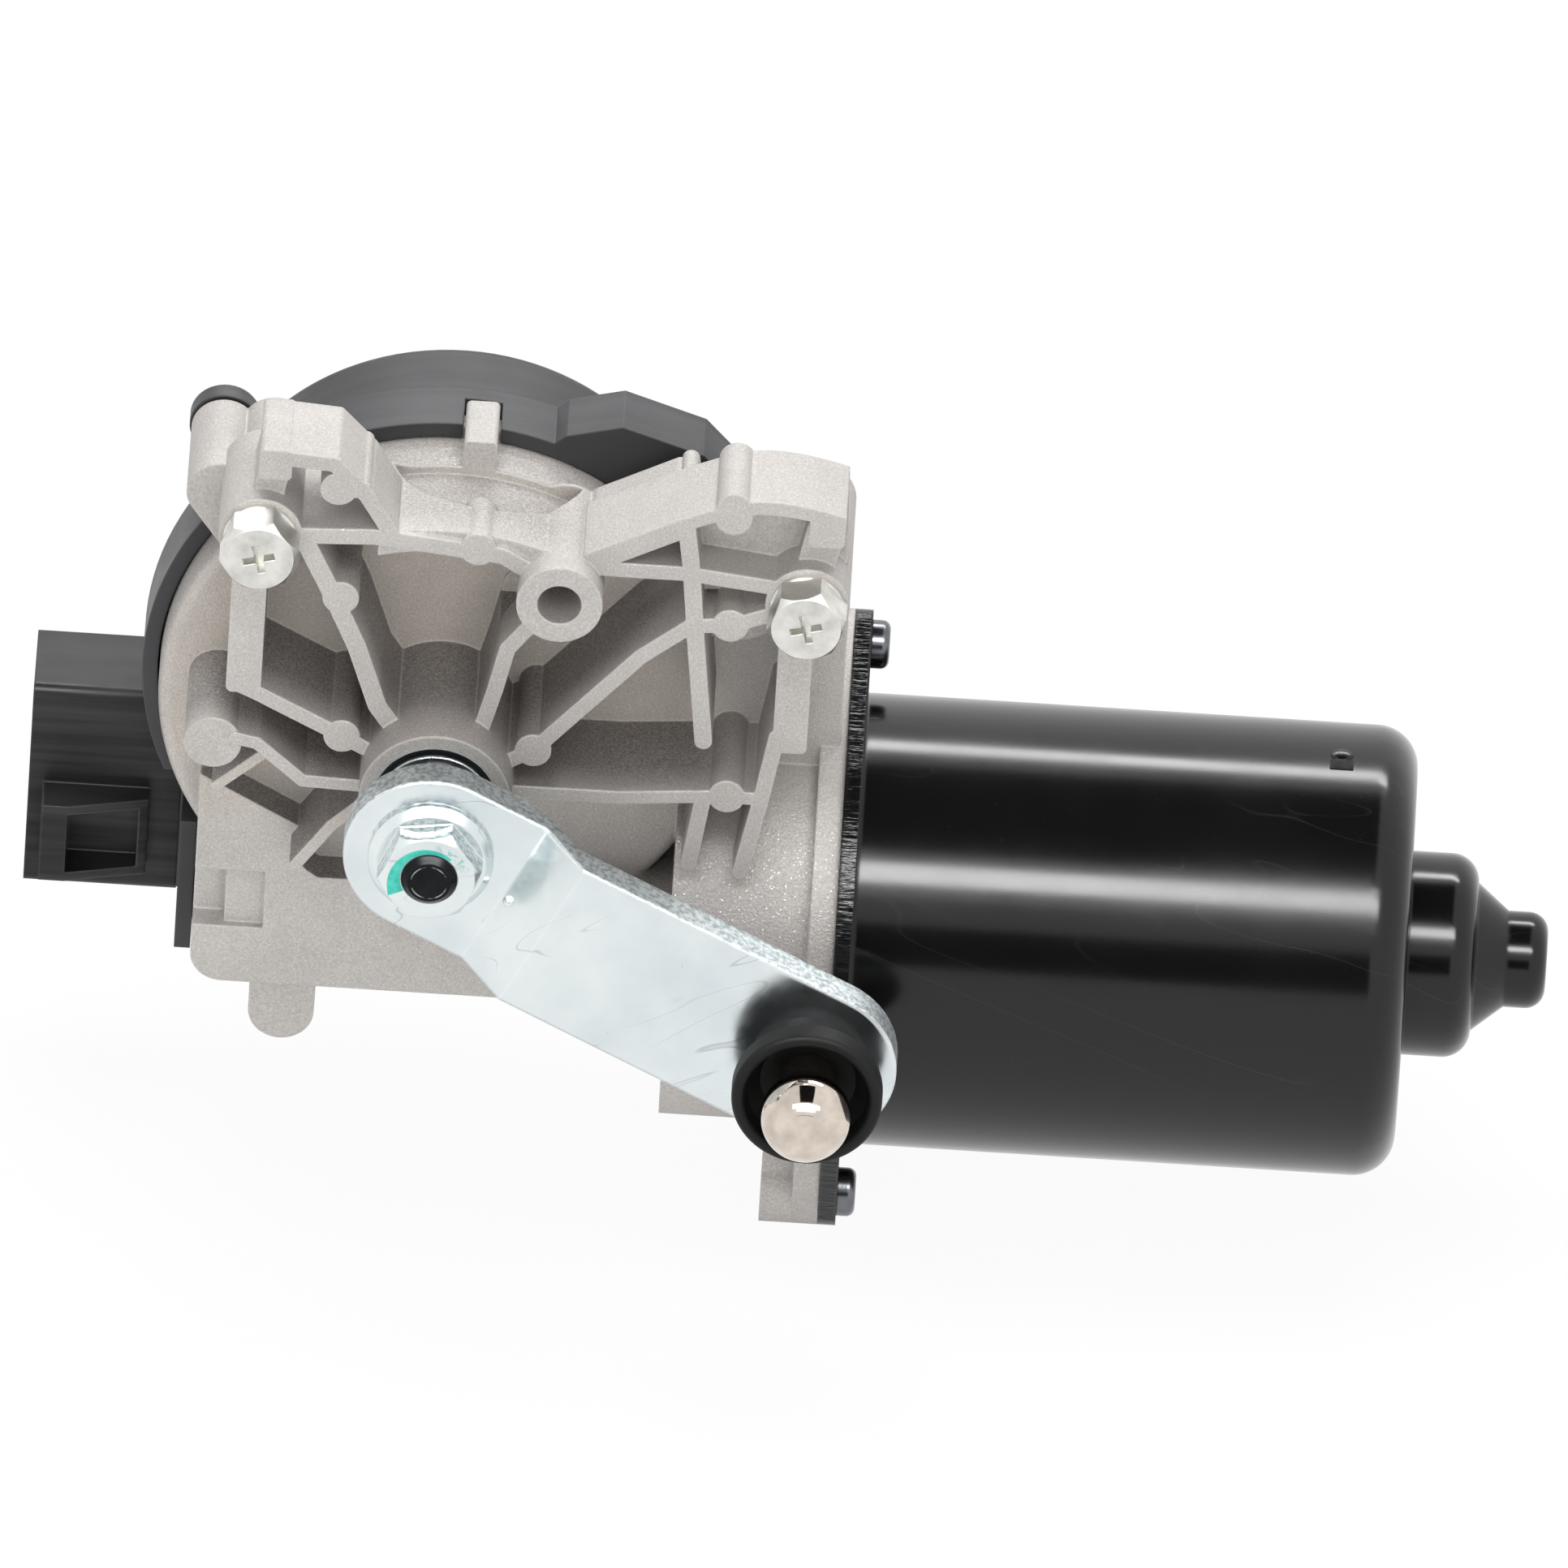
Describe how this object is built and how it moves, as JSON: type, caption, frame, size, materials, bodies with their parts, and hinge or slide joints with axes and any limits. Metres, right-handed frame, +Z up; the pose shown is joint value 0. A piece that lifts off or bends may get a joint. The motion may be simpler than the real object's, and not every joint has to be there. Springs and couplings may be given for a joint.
{
  "type": "wiper gear motor",
  "caption": "Wiper gear motor: ribbed cast worm-gear housing, drawn motor can, rear cover with plug socket, and a cranked arm with a ball stud.",
  "frame": {"origin": "output shaft axis in the plane of the casting's rib and mounting faces", "axes": "+X along the motor can, +Y back towards the cover, +Z up; the output shaft points to -Y"},
  "size_m": [0.2182, 0.1061, 0.1284],
  "materials": {
    "cast_aluminium": "sandblasted casting",
    "cover_plastic": "satin moulding",
    "gasket_rubber": "matte",
    "connector_plastic": "satin moulding",
    "tinned_brass": "tinned",
    "card_board": "pressed laminate",
    "black_paint": "gloss paint",
    "ferrite": "ground ferrite",
    "bronze": "sintered",
    "seal_rubber": "oiled",
    "bearing_steel": "polished",
    "carbon": "pressed carbon",
    "spring_steel": "drawn",
    "shaft_steel": "ground",
    "core_steel": "stacked sheet",
    "copper": "enamelled wire",
    "black_oxide": "black oxide",
    "zinc_plate": "bright zinc",
    "gear_plastic": "moulded",
    "nickel": "polished nickel",
    "boot_rubber": "matte",
    "dark_screw": "bright dark zinc"
  },
  "bodies": {
    "motor": {"gear_housing": "cast_aluminium", "rear_cover": "cover_plastic", "cover_gasket": "gasket_rubber", "connector_housing": "connector_plastic", "terminal_pins": "tinned_brass", "park_switch_card": "card_board", "park_fingers": "tinned_brass", "motor_can": "black_paint", "magnets": "ferrite", "worm_end_bush": "bronze", "armature_front_bush": "bronze", "can_bush": "bronze", "output_bushes": "bronze", "shaft_seal": "seal_rubber", "thrust_ball": "bearing_steel", "brush_plate": "cover_plastic", "brushes": "carbon", "brush_springs": "spring_steel", "mounting_screws": "zinc_plate", "can_screws": "dark_screw", "cover_screws": "dark_screw"},
    "armature": {"armature_shaft": "shaft_steel", "armature_core": "core_steel", "armature_windings": "copper", "commutator": "copper"},
    "output": {"output_shaft": "black_oxide", "thrust_washer": "zinc_plate", "retaining_ring": "spring_steel", "worm_wheel": "gear_plastic", "park_disc": "tinned_brass", "crank_arm": "zinc_plate", "crank_nut": "zinc_plate", "ball_stud": "nickel", "ball_boot": "boot_rubber"}
  },
  "joints": [
    {"name": "output_spin", "type": "hinge", "parent": "motor", "child": "output", "pos_m": [0, 0, 0], "axis": [0, 1, 0], "continuous": true},
    {"name": "armature_spin", "type": "hinge", "parent": "motor", "child": "armature", "pos_m": [0, 0.025, -0.035], "axis": [1, 0, 0], "continuous": true}
  ],
  "couplings": [
    {"joint": "armature_spin", "follows": "output_spin", "ratio": 61}
  ]
}
